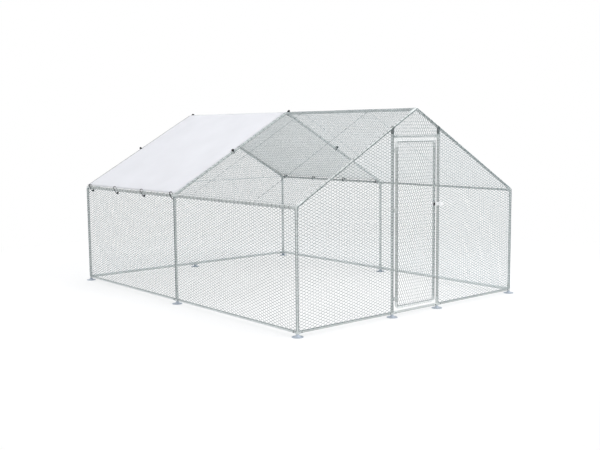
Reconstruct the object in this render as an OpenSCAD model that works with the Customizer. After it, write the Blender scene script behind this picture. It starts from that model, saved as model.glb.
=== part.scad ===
// Walk-in chicken run: a bolted tube frame with wire netting, a gable door and a roof cover.
// The door gable faces -Y, +Z is up, and the origin is at the centre of the ground area.

/* [Frame] */
// Width of the run, from post axis to post axis
run_w = 3000; // [2400:10:4000]
// Length of one of the two bays, from arch to arch
bay_l = 1960; // [1400:10:2400]
// Height where a post axis meets its rafter axis
eave_h = 1136; // [950:1:1400]
// Height where the two rafter axes of an arch meet
ridge_h = 1986; // [1900:1:2400]
// Outer diameter of the tubes
tube_d = 25; // [20:0.5:28]
// Wall of the tubes
tube_wall = 1; // [0.6:0.1:2]

/* [Connectors] */
// Height of the base rail axes
base_h = 42; // [38:1:60]
// Height of the top of a base sleeve
base_top_h = 115; // [100:1:140]
// Wall of a sleeve
sleeve_wall = 2; // [1.6:0.1:3]
// Radial clearance of a tube in a sleeve
sleeve_gap = 0.25; // [0.1:0.05:0.4]
// Step from the radius of a sleeve down to that of its side arms
arm_step = 0.75; // [0.4:0.05:1]
// Length of a side arm, from the axis of its sleeve
arm_l = 58; // [50:1:75]
// Centre line radius of the eave and ridge bends
bend_r = 75; // [60:1:100]
// Length of the socket at each end of a bend
socket_l = 50; // [40:1:70]
// Width of a ring that clips round a tube
ring_l = 34; // [28:1:44]

/* [Feet] */
// Diameter of a foot plate
foot_d = 105; // [90:1:130]
// Thickness of a foot plate at its rim
foot_t = 4; // [3:0.5:8]
// Diameter of the foot's cone where it leaves the plate
foot_cone_d = 56; // [44:1:60]
// Pitch circle of the peg holes
peg_pcd = 80; // [74:1:84]
// Diameter of a peg hole
peg_d = 9; // [6:0.5:10]

/* [Bolts] */
// Diameter of a set bolt
bolt_d = 6; // [5:0.5:8]
// Width of a bolt head across its corners
bolt_head_d = 11.5; // [9:0.5:14]
// Height of a bolt head
bolt_head_h = 4; // [3:0.5:6]

/* [Door] */
// Distance between the door post axes
doorway_w = 644; // [600:1:800]
// Distance between the axes of the door's stiles
door_w = 530; // [480:1:545]
// Height of the head rail axis above the door
head_h = 1720; // [1700:1:1760]
// Height of the door's top rail axis
door_top_h = 1675; // [1600:1:1680]
// Height of the door's bottom rail axis
door_low_h = 90; // [80:1:130]
// Centre line radius of the door's corners
door_bend_r = 30; // [24:1:40]
// Length of the socket at each end of a door corner
door_socket_l = 24; // [20:1:30]
// Distance of the end hinges from the rails of the door
hinge_end = 84; // [80:1:120]
// Height of a hinge clip
hinge_clip_h = 14; // [10:1:20]
// Diameter of a hinge pin
hinge_pin_d = 6; // [5:0.5:7]

/* [Latch] */
// Height of the latch above the ground
latch_h = 1054; // [900:1:1200]
// Length of the latch plate
latch_plate_l = 112; // [105:1:125]
// Height of the latch plate
latch_plate_h = 30; // [28:1:40]
// Thickness of the latch plate
latch_plate_t = 2.5; // [2:0.5:4]
// Diameter of the latch bolt
latch_bolt_d = 8; // [6:0.5:9]
// Travel of the latch bolt
latch_travel = 24; // [18:1:26]

/* [Netting] */
// Thickness of the netting
net_t = 1.2; // [0.8:0.1:2]
// Width of a strand
strand_w = 6; // [3:0.5:10]
// Distance between the twisted sides of a gap
net_pitch = 350; // [330:1:450]
// Length of a twisted side
net_twist_l = 210; // [180:1:260]
// Distance along the net from the end of a twisted side to the tip of its gap
net_run_l = 180; // [150:1:230]

/* [Cover] */
// Thickness of the cover
cover_t = 1; // [0.6:0.1:2]
// Distance of an eyelet from the edge of the cover
eyelet_edge = 14; // [12:0.5:15]
// Inner diameter of an eyelet
eyelet_d = 10; // [8:0.5:12]
// Outer diameter of an eyelet
eyelet_outer_d = 18; // [16:0.5:22]
// Distance of the outer eave loops from the arches
loop_inset = 70; // [64:1:110]
// Diameter of the elastic cord
cord_d = 5; // [4:0.5:6]
// Diameter of a loop's ball
ball_d = 26; // [20:1:26]

/* [Hidden] */
$fn = 48;
left = -1;
right = 1;
front = -1;
mid = 0;
rear = 1;
steel = "silver";
zinc = "dimgray";
wire = "gainsboro";

// General clearances and overruns
over = 1;
seat_gap = 0.3;
pin_gap = 0.05;
bolt_gap = 0.2;

// Tubes and sleeves
tube_r = tube_d / 2;
tube_in_r = tube_r - tube_wall;
bore_r = tube_r + sleeve_gap;
sleeve_r = bore_r + sleeve_wall;
arm_r = sleeve_r - arm_step;
bend_step = 0.25;
socket_in = 1;
socket_end = seat_gap - socket_in;
bend_sleeve_r = sleeve_r - bend_step;
tube_end = sleeve_r + seat_gap;
bolt_at = (arm_l + sleeve_r) / 2;

// Arches
half_w = run_w / 2;
pitch = atan((ridge_h - eave_h) / half_w);
rafter_l = norm([half_w, ridge_h - eave_h]);
eave_turn = 90 - pitch;
ridge_turn = 2 * pitch;
eave_tangent = bend_r * tan(eave_turn / 2);
ridge_tangent = bend_r * tan(ridge_turn / 2);
ridge_centre_h = ridge_h - bend_r / cos(pitch);
rail_in = bend_r * (1 - cos(eave_turn / 2));
eave_rail_h = eave_h - eave_tangent + bend_r * sin(eave_turn / 2);
ridge_rail_h = ridge_centre_h + bend_r;
rail_t = rail_in * cos(pitch) - (eave_h - eave_rail_h) * sin(pitch);
rail_depth = rail_in * sin(pitch) + (eave_h - eave_rail_h) * cos(pitch);

// Base
base_low = base_h - sleeve_r;
post_foot = base_h + bore_r + seat_gap;
foot_r = foot_d / 2;
foot_neck_r = arm_r;
peg_count = 4;
foot_cone_share = 0.75;
foot_cone_h = foot_t + (base_low - foot_t) * foot_cone_share;

// Door
door_post_x = doorway_w / 2;
stile_x = door_w / 2;
hinge_x = -(door_post_x + stile_x) / 2;
hinge_mid_share = 0.6;
hinge_low_h = door_low_h + hinge_end;
hinge_top_h = door_top_h - hinge_end;
hinge_mid_h = hinge_low_h + (hinge_top_h - hinge_low_h) * hinge_mid_share;
hinge_hs = [hinge_low_h, hinge_mid_h, hinge_top_h];
hinge_ear_t = 5;
knuckle_wall = 3;
pin_r = hinge_pin_d / 2;
knuckle_r = pin_r + knuckle_wall;
pin_head_h = 2.5;
pin_head_r = pin_r + knuckle_wall / 2;
rafter_over_door_h = ridge_h - door_post_x * tan(pitch);
clamp_floor = bore_r / cos(pitch) + bore_r * tan(pitch) + sleeve_wall;
clamp_socket_l = 36;

// Netting
net_gap = 0.3;
net_off = sleeve_r + net_gap;
net_low_h = base_h + tube_r;
net_seam = 1;
net_border = 8;
least_gap_share = 0.06;
gable_low_x = half_w + (eave_h - eave_rail_h) / tan(pitch);
roof_net_low = rail_t;
roof_net_top = rafter_l - ridge_tangent;

// Latch, with depths counted outward from the plane of the door
latch_depth = net_off + net_t + net_gap;
latch_front = latch_depth + latch_plate_t;
latch_r = latch_bolt_d / 2;
latch_axis_gap = 1;
latch_axis = latch_front + latch_axis_gap + latch_r;
latch_plate_x = stile_x - seat_gap;
latch_web_l = 10;
guide_l = 8;
guide_wall = 3.5;
guide_gap = 0.15;
guide_out = latch_axis + latch_r + guide_wall;
guide_half_h = latch_r + guide_wall;
staple_t = 4;
staple_bar = 3;
staple_gap = 2.5;
staple_x = door_post_x + sleeve_r - sleeve_wall;
staple_top = latch_axis + latch_r + staple_gap;
staple_half_h = latch_r + staple_gap + staple_bar;
slot_w = staple_t + 2 * staple_gap;
slot_h = 2 * (staple_half_h + staple_gap);
bolt_tip_gap = 4;
grip_l = 15;
grip_h = 30;
grip_t = 9;
grip_back = 20;
grip_x = stile_x - grip_back;
grip_floor_share = 0.8;
latch_tip_x = staple_x - staple_t / 2 - bolt_tip_gap;
guide_low_x = latch_plate_x + guide_l + latch_travel / 2;
guide_high_x = latch_tip_x - guide_l;

// Cover, with heights counted from the rafter axes along the roof's normal
cover_off = net_off + net_t + net_gap;
cord_r = cord_d / 2;
cover_edge = tube_r + seat_gap + cord_r - eyelet_edge;
cover_low_t = rail_t + cover_edge;
cover_steps = 10;
eyelet_t = 0.8;
eyelet_gap = 0.6;
eyelet_r = eyelet_d / 2;
eyelet_wall = 1.2;
ball_r = ball_d / 2;
leg_step = 0.05;
leg_r = cord_r - leg_step;
leg_in = 0.5;
loop_sink = 1;
eave_loop_drop = 30;
loops_per_eave = 4;
loop_step = (bay_l - 2 * loop_inset) / (loops_per_eave - 1);
slope_share = 0.5;
apex_tilt = 14;
slope_ball_turn = 35;
apex_ball_turn = 65;
loop_clear = 2;

// Places

// Moves a shape made for the left side to either side.
module at_side(side)
    mirror([side == right ? 1 : 0, 0, 0])
        translate([-half_w, 0, 0])
            children();

// Moves to an eave corner, with the stubs that the arch needs along Y.
module at_eaves()
    for (side = [left, right], arch = [front, mid, rear]) {
        $stubs = stubs_of(arch);
        translate([0, arch * bay_l, eave_h]) at_side(side) children();
    }

// Moves to a ridge corner, turned so that both arms of a bend run down the slopes.
module at_ridges()
    for (arch = [front, mid, rear]) {
        $stubs = stubs_of(arch);
        translate([0, arch * bay_l, ridge_h]) rotate([0, 90 - pitch, 0]) children();
    }

// An end arch has a rail on one side, and the middle arch on both.
function stubs_of(arch) = arch == mid ? [front, rear] : [-arch];

// Moves to each base joint that carries a post, with the angles of its arms and of its bolts.
module at_base_posts() {
    for (side = [left, right], arch = [front, mid, rear]) {
        in_turn = side == left ? 0 : 180;
        $arms = concat(arch == mid ? [] : [in_turn], [for (s = stubs_of(arch)) s * 90]);
        $post_turn = in_turn;
        $out_x = 180 - in_turn;
        $out_y = arch * 90;
        translate([side * half_w, arch * bay_l, 0]) children();
    }
    for (side = [left, right]) {
        $arms = [0, 180];
        $post_turn = 90;
        $out_y = -90;
        translate([side * door_post_x, front * bay_l, 0]) children();
    }
}

// Moves to the joiner in the middle of the rear base rails.
module at_rear_joiner() {
    $arms = [0, 180];
    $out_y = 90;
    translate([0, rear * bay_l, 0]) children();
}

// Moves to the bolt of each base arm, with X out of the run.
module at_arm_bolts()
    for (a = $arms)
        rotate([0, 0, a])
            translate([bolt_at, 0, base_h])
                rotate([0, 0, (a == 0 || a == 180 ? $out_y : $out_x) - a])
                    children();

// Moves to the bolt that holds a post, with X into the run.
module at_post_bolt()
    translate([0, 0, (base_h + sleeve_r + base_top_h) / 2])
        rotate([0, 0, $post_turn])
            children();

// Moves to each elastic loop: X to the eyelet, Z out of the cover, Y along the tube of radius $hold.
module at_loops() {
    for (side = [left, right], i = [0 : loops_per_eave - 1]) {
        $hold = tube_r;
        $depth = rail_depth;
        $drop = side == left ? eave_loop_drop : 0;
        $ball_turn = side == left ? undef : 0;
        translate([0, loop_inset + i * loop_step, eave_rail_h])
            at_side(side)
                translate([rail_in, 0, 0])
                    rotate([0, -pitch, 0])
                        children();
    }
    for (side = [left, right], arch = [mid, rear]) {
        $hold = tube_r;
        $depth = 0;
        $drop = 0;
        $ball_turn = slope_ball_turn;
        translate([0, arch * bay_l, eave_h])
            at_side(side)
                rotate([0, -pitch, 0])
                    translate([rafter_l * slope_share, 0, 0])
                        rotate([0, 0, arch == mid ? 90 : -90])
                            children();
    }
    for (arch = [mid, rear]) {
        $hold = sleeve_r;
        $depth = 0;
        $drop = 0;
        $ball_turn = arch == mid ? apex_ball_turn : slope_ball_turn;
        translate([0, arch * bay_l, ridge_centre_h])
            rotate([0, apex_tilt, 0])
                translate([0, 0, bend_r])
                    rotate([0, 0, arch == mid ? 90 : -90])
                        children();
    }
}

// Half the width of a loop, and the height of the middle of its upper bend
function loop_w() = $hold + seat_gap + cord_r;
function loop_top() = $depth + cover_off - loop_sink;

// Tubes

module tube(l)
    difference() {
        cylinder(r = tube_r, h = l);
        translate([0, 0, -over]) cylinder(r = tube_in_r, h = l + 2 * over);
    }

module tube_y(y0, y1)
    translate([0, y0, 0]) rotate([-90, 0, 0]) tube(y1 - y0);

module tube_x(x0, x1)
    translate([x0, 0, 0]) rotate([0, 90, 0]) tube(x1 - x0);

module tube_z(z0, z1)
    translate([0, 0, z0]) tube(z1 - z0);

module post_tube(side, arch)
    translate([side * half_w, arch * bay_l, 0])
        tube_z(post_foot, eave_h - eave_tangent - socket_end);

module rafter_tube(side, arch)
    translate([0, arch * bay_l, eave_h])
        at_side(side)
            rotate([0, 90 - pitch, 0])
                tube_z(eave_tangent + socket_end, rafter_l - ridge_tangent - socket_end);

// The two tubes of a long rail, one in each bay
module bay_tubes() {
    tube_y(tube_end - bay_l, -tube_end);
    tube_y(tube_end, bay_l - tube_end);
}

module eave_tubes(side)
    translate([side * (half_w - rail_in), 0, eave_rail_h]) bay_tubes();

module base_tubes(side)
    translate([side * half_w, 0, base_h]) bay_tubes();

module front_left_post() color(steel) post_tube(left, front);
module front_right_post() color(steel) post_tube(right, front);
module mid_left_post() color(steel) post_tube(left, mid);
module mid_right_post() color(steel) post_tube(right, mid);
module rear_left_post() color(steel) post_tube(left, rear);
module rear_right_post() color(steel) post_tube(right, rear);
module front_left_rafter() color(steel) rafter_tube(left, front);
module front_right_rafter() color(steel) rafter_tube(right, front);
module mid_left_rafter() color(steel) rafter_tube(left, mid);
module mid_right_rafter() color(steel) rafter_tube(right, mid);
module rear_left_rafter() color(steel) rafter_tube(left, rear);
module rear_right_rafter() color(steel) rafter_tube(right, rear);
module ridge_rails() color(steel) translate([0, 0, ridge_rail_h]) bay_tubes();
module left_eave_rails() color(steel) eave_tubes(left);
module right_eave_rails() color(steel) eave_tubes(right);
module left_base_rails() color(steel) base_tubes(left);
module right_base_rails() color(steel) base_tubes(right);

module rear_base_rails()
    color(steel)
        translate([0, rear * bay_l, base_h]) {
            tube_x(tube_end - half_w, -tube_end);
            tube_x(tube_end, half_w - tube_end);
        }

module front_base_rails()
    color(steel)
        translate([0, front * bay_l, base_h]) {
            tube_x(tube_end - half_w, -door_post_x - tube_end);
            tube_x(door_post_x + tube_end, half_w - tube_end);
        }

module door_sill()
    color(steel)
        translate([0, front * bay_l, base_h])
            tube_x(tube_end - door_post_x, door_post_x - tube_end);

module door_post(side)
    translate([side * door_post_x, front * bay_l, 0])
        tube_z(post_foot, rafter_over_door_h - clamp_floor - seat_gap);

module left_door_post() color(steel) door_post(left);
module right_door_post() color(steel) door_post(right);

module door_head_rail()
    color(steel)
        translate([0, front * bay_l, head_h])
            tube_x(tube_end - door_post_x, door_post_x - tube_end);

// Bolts

// Set bolt along +X in the wall of a sleeve of outer radius r
module set_bolt(r) {
    rotate([0, 90, 0]) {
        translate([0, 0, tube_r + seat_gap]) cylinder(d = bolt_d, h = r - tube_r);
        translate([0, 0, r + seat_gap]) cylinder(d = bolt_head_d, h = bolt_head_h, $fn = 6);
    }
}

// Hole for a set bolt, open to the bore
module set_bolt_hole(r)
    translate([tube_r, 0, 0])
        rotate([0, 90, 0])
            cylinder(d = bolt_d + 2 * bolt_gap, h = r - tube_r + over);

// Connectors

// The route of a bend in the XZ plane: one arm runs down from the corner, the other turns by turn to +X.
module bend_solid(turn, radius, tangent, r)
    translate([radius, 0, -tangent])
        rotate([90, 0, 0])
            rotate([0, 0, 180 - turn])
                rotate_extrude(angle = turn)
                    translate([radius, 0])
                        circle(r = r);

// Moves to the two straight arms of a bend, with Z running out along the arm.
module at_bend_arms(turn, tangent)
    for (arm = [180, turn]) {
        $inward = arm == 180 ? 180 : 0;
        rotate([0, arm, 0]) translate([0, 0, tangent]) children();
    }

// Straight end of a bend, begun a little way inside the bend
module socket_solid(r, l)
    translate([0, 0, -socket_in])
        cylinder(r = r, h = l + socket_in);

// Moves to the middle of a bend, with Z running out along a stub and X to the bend's inside.
module at_bend_stubs(turn, radius, tangent, stubs)
    for (s = stubs)
        translate([radius * (1 - cos(turn / 2)), 0, radius * sin(turn / 2) - tangent])
            rotate([0, turn / 2, 0])
                rotate([-s * 90, 0, 0])
                    children();

// Sleeve bent round a corner, with sockets for two tubes and for the rails on its stubs
module bent_sleeve(turn, radius, socket, stubs) {
    tangent = radius * tan(turn / 2);
    difference() {
        union() {
            bend_solid(turn, radius, tangent, bend_sleeve_r);
            at_bend_arms(turn, tangent) socket_solid(sleeve_r, socket);
            at_bend_stubs(turn, radius, tangent, stubs) cylinder(r = arm_r, h = arm_l);
        }
        bend_solid(turn, radius, tangent, tube_in_r);
        at_bend_arms(turn, tangent) {
            socket_solid(bore_r, socket + over);
            translate([0, 0, socket / 2]) rotate([0, 0, $inward]) set_bolt_hole(sleeve_r);
        }
        at_bend_stubs(turn, radius, tangent, stubs) {
            translate([0, 0, sleeve_r]) cylinder(r = bore_r, h = arm_l);
            translate([0, 0, bolt_at]) set_bolt_hole(arm_r);
        }
    }
}

module bent_sleeve_bolts(turn, radius, socket, stubs) {
    tangent = radius * tan(turn / 2);
    at_bend_arms(turn, tangent)
        translate([0, 0, socket / 2])
            rotate([0, 0, $inward])
                set_bolt(sleeve_r);
    at_bend_stubs(turn, radius, tangent, stubs)
        translate([0, 0, bolt_at])
            set_bolt(arm_r);
}

// Upright sleeve over a foot, with side arms for the base rails
module base_joint(top_h, bore_h)
    difference() {
        union() {
            translate([0, 0, base_low]) cylinder(r = sleeve_r, h = top_h - base_low);
            for (a = $arms)
                translate([0, 0, base_h]) rotate([0, 90, a]) cylinder(r = arm_r, h = arm_l);
        }
        translate([0, 0, base_low - over]) cylinder(r = bore_r, h = bore_h - base_low + over);
        for (a = $arms)
            translate([0, 0, base_h])
                rotate([0, 90, a])
                    translate([0, 0, sleeve_r])
                        cylinder(r = bore_r, h = arm_l);
        at_arm_bolts() set_bolt_hole(arm_r);
        children();
    }

module eave_connectors()
    color(steel)
        at_eaves()
            bent_sleeve(eave_turn, bend_r, socket_l, $stubs);

module ridge_connectors()
    color(steel)
        at_ridges()
            bent_sleeve(ridge_turn, bend_r, socket_l, $stubs);

// Joints under the posts, then the low joiner at the rear, which is closed on top
module base_connectors()
    color(steel) {
        at_base_posts()
            base_joint(base_top_h, base_top_h + over)
                at_post_bolt() set_bolt_hole(sleeve_r);
        at_rear_joiner()
            base_joint(base_h + sleeve_r, base_h + tube_r);
    }

// Ring on a door post with an arm for the head rail
module head_rail_tees()
    color(steel)
        for (side = [left, right])
            translate([side * door_post_x, front * bay_l, head_h])
                rotate([0, 0, side == left ? 0 : 180])
                    difference() {
                        union() {
                            translate([0, 0, -ring_l / 2]) cylinder(r = sleeve_r, h = ring_l);
                            rotate([0, 90, 0]) cylinder(r = arm_r, h = arm_l);
                        }
                        translate([0, 0, -ring_l]) cylinder(r = bore_r, h = 2 * ring_l);
                        rotate([0, 90, 0])
                            translate([0, 0, sleeve_r])
                                cylinder(r = bore_r, h = arm_l);
                        tee_bolt_place(side) set_bolt_hole(arm_r);
                    }

// The head rail's bolts face the inside of the run.
module tee_bolt_place(side)
    translate([bolt_at, 0, 0])
        rotate([0, 0, side == left ? 90 : -90])
            children();

// Ring on a rafter with a socket under it for the top of a door post
module rafter_clamps()
    color(steel)
        for (side = [left, right])
            translate([side * door_post_x, front * bay_l, rafter_over_door_h])
                difference() {
                    union() {
                        rotate([0, side * (90 + pitch), 0])
                            translate([0, 0, -ring_l / 2])
                                cylinder(r = sleeve_r, h = ring_l);
                        translate([0, 0, -clamp_floor - clamp_socket_l])
                            cylinder(r = arm_r, h = clamp_floor + clamp_socket_l);
                    }
                    rotate([0, side * (90 + pitch), 0])
                        translate([0, 0, -ring_l])
                            cylinder(r = bore_r, h = 2 * ring_l);
                    translate([0, 0, -clamp_floor - clamp_socket_l - over])
                        cylinder(r = bore_r, h = clamp_socket_l + over);
                    clamp_bolt_place() set_bolt_hole(arm_r);
                }

module clamp_bolt_place()
    translate([0, 0, -clamp_floor - clamp_socket_l / 2])
        rotate([0, 0, 90])
            children();

module foot_plate() {
    low_neck = base_low - seat_gap;
    difference() {
        rotate_extrude()
            polygon([
                [0, 0], [foot_r, 0], [foot_r, foot_t], [foot_cone_d / 2, foot_t],
                [foot_neck_r, foot_cone_h], [foot_neck_r, low_neck],
                [tube_r, low_neck], [tube_r, base_h], [0, base_h]
            ]);
        for (i = [0 : peg_count - 1])
            rotate([0, 0, (i + 1 / 2) * 360 / peg_count])
                translate([peg_pcd / 2, 0, -over])
                    cylinder(d = peg_d, h = foot_t + 2 * over);
    }
}

module foot_plates()
    color("lightslategray") {
        at_base_posts() foot_plate();
        at_rear_joiner() foot_plate();
    }

module frame_bolts()
    color(zinc) {
        at_eaves() bent_sleeve_bolts(eave_turn, bend_r, socket_l, $stubs);
        at_ridges() bent_sleeve_bolts(ridge_turn, bend_r, socket_l, $stubs);
        at_base_posts() {
            at_arm_bolts() set_bolt(arm_r);
            at_post_bolt() set_bolt(sleeve_r);
        }
        for (side = [left, right]) {
            translate([side * door_post_x, front * bay_l, head_h])
                rotate([0, 0, side == left ? 0 : 180])
                    tee_bolt_place(side) set_bolt(arm_r);
            translate([side * door_post_x, front * bay_l, rafter_over_door_h])
                clamp_bolt_place() set_bolt(arm_r);
        }
        at_rear_joiner() at_arm_bolts() set_bolt(arm_r);
    }

// Netting

// Twice the area to the left of a to b at p
function side_of(p, a, b) = cross(b - a, p - a);

// The part of a convex outline to the left of the line from a to b
function cut_by(points, a, b) = [
    for (i = [0 : 1 : len(points) - 1])
        let (
            p = points[i],
            q = points[(i + 1) % len(points)],
            sp = side_of(p, a, b),
            sq = side_of(q, a, b)
        )
        each concat(sp >= 0 ? [p] : [], (sp >= 0) != (sq >= 0) ? [p + (q - p) * sp / (sp - sq)] : [])
];

function clip(points, outline, i = 0) =
    i == len(outline) || len(points) < 3 ? points :
    clip(cut_by(points, outline[i], outline[(i + 1) % len(outline)]), outline, i + 1);

function area_of(points) =
    let (n = len(points))
    n < 3 ? 0 : [for (i = [0 : n - 1]) cross(points[i], points[(i + 1) % n])] * [for (i = [1 : n]) 1 / 2];

// A convex outline with each of its sides moved in by d
function inset(outline, d) =
    let (n = len(outline))
    [
        for (i = [0 : n - 1])
            let (
                a = outline[(i + n - 1) % n],
                b = outline[i],
                c = outline[(i + 1) % n],
                u = (b - a) / norm(b - a),
                v = (c - b) / norm(c - b),
                p = b + d * [-u.y, u.x],
                q = b + d * [-v.y, v.x]
            )
            p + u * cross(q - p, v) / cross(u, v)
    ];

// Six-sided gap round the origin, its twisted sides along X, drawn in by half a strand
function gap_outline() =
    let (
        half = net_pitch / 2,
        slant = norm([net_run_l, half]),
        tip = net_twist_l / 2 + net_run_l - strand_w / 2 * slant / half,
        high = half - strand_w / 2,
        flat = tip - high * net_run_l / half
    )
    [[tip, 0], [flat, high], [-flat, high], [-tip, 0], [-flat, -high], [flat, -high]];

// The gaps of a net that covers a convex outline, with the twists along X or turned to Y
function net_gaps(outline, turned) =
    let (
        field = inset(outline, net_border),
        step_x = net_twist_l + net_run_l,
        step_y = net_pitch / 2,
        unit = gap_outline(),
        least = area_of(unit) * least_gap_share,
        low = [min([for (p = outline) p.x]), min([for (p = outline) p.y])],
        high = [max([for (p = outline) p.x]), max([for (p = outline) p.y])],
        span = turned ? [high.y - low.y, high.x - low.x] : high - low
    )
    [
        for (i = [0 : ceil(span.x / step_x)], j = [0 : ceil(span.y / step_y)])
            if ((i + j) % 2 == 0)
                let (
                    at = [i * step_x, j * step_y],
                    gap = [for (p = unit) turned ? low + [at.y - p.y, at.x + p.x] : low + at + p],
                    seen = clip(gap, field)
                )
                if (area_of(seen) > least) seen
    ];

module net(outline, turned)
    linear_extrude(net_t)
        difference() {
            polygon(outline);
            for (gap = net_gaps(outline, turned))
                polygon(gap);
        }

// The space that a loop and its ball need where they pass through a net, with a margin round it
module loop_spaces(margin = 0)
    at_loops() {
        low = -$drop - loop_w() - ball_r - margin;
        high = loop_top() + loop_w() + ball_r + margin;
        reach = loop_w() + ball_r + loop_clear + margin;
        wide = ball_r + loop_clear + margin;
        translate([-reach, -wide, low]) cube([2 * reach, 2 * wide, high - low]);
    }

// Gaps of a net as solids that reach out of both its faces
module gap_solids(outline, turned)
    translate([0, 0, -over])
        linear_extrude(net_t + 2 * over)
            for (gap = net_gaps(outline, turned))
                polygon(gap);

function rect(low, high) = [low, [high.x, low.y], high, [low.x, high.y]];

// Nets of the side walls: the outline is in Y and Z.
module side_net(side, y0, y1)
    translate([side == left ? -half_w - net_off - net_t : half_w + net_off, 0, 0])
        rotate([90, 0, 90])
            net(rect([y0, net_low_h], [y1, eave_rail_h - tube_r]), false);

module left_front_netting() color(wire) side_net(left, -bay_l, -net_seam);
module left_rear_netting() color(wire) side_net(left, net_seam, bay_l);
module right_front_netting() color(wire) side_net(right, -bay_l, -net_seam);
module right_rear_netting() color(wire) side_net(right, net_seam, bay_l);

// Nets of the gables: the outline is in X and Z.
module on_gable(arch)
    translate([0, arch == front ? -bay_l - net_off : bay_l + net_off + net_t, 0])
        rotate([90, 0, 0])
            children();

module gable_net(arch, outline, turned)
    on_gable(arch) net(outline, turned);

module rear_wall_netting()
    color(wire)
        gable_net(rear, rect([-half_w, net_low_h], [half_w, eave_rail_h - net_seam]), false);

// The net is closed in a border round the space of each loop.
module rear_gable_netting() {
    outline = [[-gable_low_x, eave_rail_h], [gable_low_x, eave_rail_h], [0, ridge_h]];
    color(wire)
        difference() {
            on_gable(rear) linear_extrude(net_t) polygon(outline);
            difference() {
                on_gable(rear) gap_solids(outline, false);
                loop_spaces(net_border);
            }
            loop_spaces();
        }
}

module front_left_netting()
    color(wire)
        gable_net(front, [
            [-half_w, net_low_h], [-door_post_x, net_low_h],
            [-door_post_x, rafter_over_door_h], [-half_w, eave_h]
        ], false);

// The keeper's staple comes out through this net.
module front_right_netting()
    color(wire)
        difference() {
            gable_net(front, [
                [door_post_x, net_low_h], [half_w, net_low_h],
                [half_w, eave_h], [door_post_x, rafter_over_door_h]
            ], false);
            translate([door_post_x - over, front * bay_l - staple_top, latch_h - latch_plate_h / 2])
                cube([2 * sleeve_r, staple_top, latch_plate_h]);
        }

module over_door_netting()
    color(wire)
        gable_net(front, [
            [net_seam - door_post_x, head_h], [door_post_x - net_seam, head_h],
            [door_post_x - net_seam, rafter_over_door_h], [0, ridge_h],
            [net_seam - door_post_x, rafter_over_door_h]
        ], true);

// Nets of the roof: the outline is in the distance up the slope and in Y.
module on_slope(side)
    at_side(side)
        translate([0, 0, eave_h])
            rotate([0, -pitch, 0])
                translate([0, 0, net_off])
                    children();

// The net is closed in a border round the space of each loop.
module roof_net(side, y0, y1) {
    outline = rect([roof_net_low, y0], [roof_net_top, y1]);
    difference() {
        on_slope(side) linear_extrude(net_t) polygon(outline);
        difference() {
            on_slope(side) gap_solids(outline, false);
            loop_spaces(net_border);
        }
        loop_spaces();
    }
}

module roof_left_front_netting() color(wire) roof_net(left, -bay_l, -net_seam);
module roof_left_rear_netting() color(wire) roof_net(left, net_seam, bay_l);
module roof_right_front_netting() color(wire) roof_net(right, -bay_l, -net_seam);
module roof_right_rear_netting() color(wire) roof_net(right, net_seam, bay_l);

// Cover

// One face of the cover in X and Z, off from the rafter axes: up one slope, round the ridge, down the other
function cover_line(off) =
    let (
        x = half_w - cover_low_t * cos(pitch) + off * sin(pitch),
        z = eave_h + cover_low_t * sin(pitch) + off * cos(pitch),
        r = bend_r + off
    )
    concat(
        [[-x, z]],
        [
            for (i = [0 : cover_steps])
                let (a = pitch * (2 * i / cover_steps - 1))
                [r * sin(a), ridge_centre_h + r * cos(a)]
        ],
        [[x, z]]
    );

function backwards(points) = [for (i = [len(points) - 1 : -1 : 0]) points[i]];

module roof_cover()
    color("ghostwhite")
        difference() {
            translate([0, bay_l - cover_edge, 0])
                rotate([90, 0, 0])
                    linear_extrude(bay_l - 2 * cover_edge)
                        polygon(concat(cover_line(cover_off), backwards(cover_line(cover_off + cover_t))));
            at_loops()
                translate([loop_w(), 0, $depth + cover_off - over])
                    cylinder(r = eyelet_r + eyelet_wall + eyelet_gap, h = cover_t + 2 * over);
        }

// Two rings with a barrel between them, clear of the cloth
module cover_eyelets()
    color("lightgray")
        at_loops()
            translate([loop_w(), 0, $depth + cover_off]) {
                low = -eyelet_gap - eyelet_t;
                high = cover_t + eyelet_gap + eyelet_t;
                difference() {
                    union() {
                        translate([0, 0, low]) cylinder(r = eyelet_r + eyelet_wall, h = high - low);
                        for (z = [low, high - eyelet_t])
                            translate([0, 0, z]) cylinder(d = eyelet_outer_d, h = eyelet_t);
                    }
                    translate([0, 0, low - over]) cylinder(r = eyelet_r, h = high - low + 2 * over);
                }
            }

// Part of a loop's bend, from one angle to another in the plane of the loop
module loop_bend(from, to)
    if (to > from)
        rotate([90, 0, 0])
            rotate([0, 0, from])
                rotate_extrude(angle = to - from)
                    translate([loop_w(), 0])
                        circle(r = cord_r);

// Angle along a bend from the middle of a ball to the cord's end beside it
function ball_turn() =
    let (r = loop_w(), r_in = r - cord_r, reach = ball_r + seat_gap)
    acos((r * r + r_in * r_in - reach * reach) / (2 * r * r_in));

// Place of a ball: turned up along the outer bend, or at the lowest point where no turn is given
function ball_at() =
    is_undef($ball_turn) ? [0, 0, -$drop - loop_w()] :
    [-loop_w() * cos($ball_turn), 0, loop_top() + loop_w() * sin($ball_turn)];

// Elastic cord whose two ends meet at its ball: two legs and two bends
module elastic_loop() {
    top = loop_top();
    hangs = is_undef($ball_turn);
    leg_top = hangs ? top : min(top, ball_at().z - ball_r - seat_gap - leg_in);
    translate([loop_w(), 0, -$drop - leg_in]) cylinder(r = leg_r, h = top + $drop + 2 * leg_in);
    translate([-loop_w(), 0, -$drop - leg_in]) cylinder(r = leg_r, h = leg_top + $drop + 2 * leg_in);
    translate([0, 0, -$drop]) {
        loop_bend(180, hangs ? 270 - ball_turn() : 360);
        if (hangs) loop_bend(270 + ball_turn(), 360);
    }
    translate([0, 0, top]) {
        loop_bend(0, hangs ? 180 : 180 - $ball_turn - ball_turn());
        if (!hangs) loop_bend(180 - $ball_turn + ball_turn(), 180);
    }
}

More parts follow.
